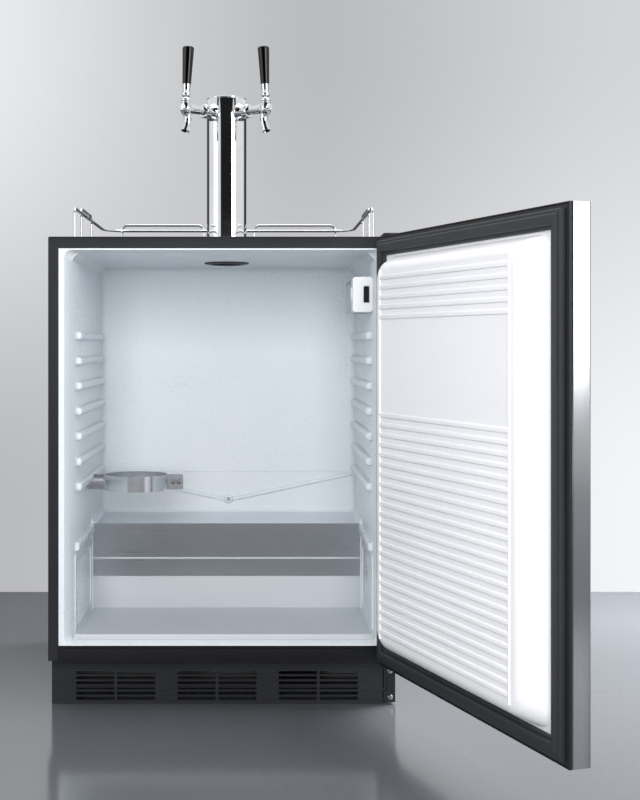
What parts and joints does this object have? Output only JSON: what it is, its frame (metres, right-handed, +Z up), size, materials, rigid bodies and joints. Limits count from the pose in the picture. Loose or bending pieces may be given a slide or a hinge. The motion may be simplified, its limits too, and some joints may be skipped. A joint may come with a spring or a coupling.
{
  "type": "kegerator",
  "caption": "Undercounter beer cooler with a hinged door, a draught tower with taps, a wire guard rail, a stepped white liner and a gas bottle clamp.",
  "frame": {"origin": "on the floor, under the middle of the cabinet's width, at mid thickness of the kick grille", "axes": "+Z up, +X to the right as seen from the front, +Y towards the back"},
  "size_m": [0.7862, 1.1414, 1.1894],
  "materials": {
    "black_painted_steel": "satin",
    "top_black": "satin",
    "black_plastic": "satin",
    "white_liner": "satin",
    "door_white": "satin",
    "stainless": "satin",
    "door_stainless": "satin",
    "chrome": "polished",
    "gasket_rubber": "matte",
    "foam": "matte",
    "lamp_clear": "gloss",
    "bulb_glass": "satin",
    "zinc_steel": "satin",
    "machine_black": "satin",
    "handle_black": "gloss",
    "aluminium_plate": "satin",
    "brass_shaft": "satin",
    "white_plastic": "satin"
  },
  "bodies": {
    "cabinet": {"cabinet_wrap": "black_painted_steel", "top_panel": "top_black", "back_panel": "zinc_steel", "front_frame": "black_painted_steel", "bottom_rail": "black_plastic", "cabinet_foam": "foam", "inner_liner": "white_liner", "step_cover": "stainless", "floor_tray": "stainless", "beer_line_bush": "black_plastic", "control_box": "white_plastic", "lamp_lens": "lamp_clear", "lamp_bulb": "bulb_glass", "gas_band": "stainless", "gas_band_bracket": "stainless", "gas_band_bolts": "zinc_steel", "kick_grille": "black_plastic", "base_frame": "black_painted_steel", "rear_feet": "black_plastic", "compressor": "machine_black", "condenser_coil": "machine_black", "fan_motor": "zinc_steel", "evaporator_plate": "aluminium_plate", "drain_tube": "white_plastic", "drain_pan": "black_plastic", "power_inlet": "black_plastic", "hinge_bracket_lower": "black_painted_steel", "hinge_plate_upper": "black_painted_steel", "hinge_screws": "zinc_steel", "guard_rail_sides": "chrome", "guard_rail_back": "chrome", "guard_loops": "chrome", "tower_column": "chrome", "tower_foam": "foam", "tower_cap": "chrome", "tap_shanks": "chrome", "shank_nuts": "brass_shaft", "coupling_nuts": "chrome", "tap_bonnets": "chrome", "tap_body_left": "chrome", "tap_body_right": "chrome"},
    "door": {"door_skin": "door_stainless", "door_inner_frame": "black_plastic", "door_gasket": "gasket_rubber", "door_liner": "door_white", "door_foam": "foam", "door_bushes": "white_plastic"},
    "left_tap_lever": {"tap_lever_left": "chrome", "tap_handle_left": "handle_black"},
    "right_tap_lever": {"tap_lever_right": "chrome", "tap_handle_right": "handle_black"},
    "left_tap_shaft": {"tap_shaft_left": "brass_shaft"},
    "right_tap_shaft": {"tap_shaft_right": "brass_shaft"},
    "fan": {"fan_blades": "black_plastic"},
    "dial": {"thermostat_dial": "white_plastic"},
    "light_switch": {"light_rocker": "black_plastic"},
    "front_left_foot": {"levelling_foot_front_left": "black_plastic"},
    "front_right_foot": {"levelling_foot_front_right": "black_plastic"},
    "tray": {"drip_tray": "stainless"},
    "grate": {"drip_grate": "stainless"}
  },
  "joints": [
    {"name": "door_hinge", "type": "hinge", "parent": "cabinet", "child": "door", "pos_m": [0.286, -0.077, 0.4], "axis": [0, 0, 1], "range_deg": [-108.5, 16.5]},
    {"name": "left_tap", "type": "hinge", "parent": "cabinet", "child": "left_tap_lever", "pos_m": [-0.07495, 0.17805, 1.088], "axis": [0.7071, -0.7071, 0], "range_deg": [0, 30]},
    {"name": "left_valve", "type": "slide", "parent": "cabinet", "child": "left_tap_shaft", "axis": [0.7071, 0.7071, 0], "range_m": [0, 0.0085]},
    {"name": "right_tap", "type": "hinge", "parent": "cabinet", "child": "right_tap_lever", "pos_m": [0.07495, 0.17805, 1.088], "axis": [0.7071, 0.7071, 0], "range_deg": [0, 30]},
    {"name": "right_valve", "type": "slide", "parent": "cabinet", "child": "right_tap_shaft", "axis": [-0.7071, 0.7071, 0], "range_m": [0, 0.0085]},
    {"name": "fan_spin", "type": "hinge", "parent": "cabinet", "child": "fan", "pos_m": [-0.058, 0.39175, 0.136], "axis": [1, 0, 0], "continuous": true},
    {"name": "thermostat_turn", "type": "hinge", "parent": "cabinet", "child": "dial", "pos_m": [0.227, 0.038, 0.716], "axis": [1, 0, 0], "range_deg": [0, 300]},
    {"name": "light_switch_rock", "type": "hinge", "parent": "cabinet", "child": "light_switch", "pos_m": [0.251, 0.014, 0.716], "axis": [1, 0, 0], "range_deg": [-5, 5]},
    {"name": "front_left_foot_turn", "type": "hinge", "parent": "cabinet", "child": "front_left_foot", "pos_m": [-0.266, 0.026, 0.02], "axis": [0, 0, 1], "continuous": true},
    {"name": "front_right_foot_turn", "type": "hinge", "parent": "cabinet", "child": "front_right_foot", "pos_m": [0.266, 0.026, 0.02], "axis": [0, 0, 1], "continuous": true},
    {"name": "tray_lift", "type": "slide", "parent": "cabinet", "child": "tray", "axis": [0, 0, 1], "range_m": [0, 0.05]},
    {"name": "grate_lift", "type": "slide", "parent": "tray", "child": "grate", "axis": [0, 0, 1], "range_m": [0, 0.03]}
  ],
  "couplings": [
    {"joint": "left_valve", "follows": "left_tap", "m_per_rad": 0.0143},
    {"joint": "right_valve", "follows": "right_tap", "m_per_rad": 0.0143}
  ]
}
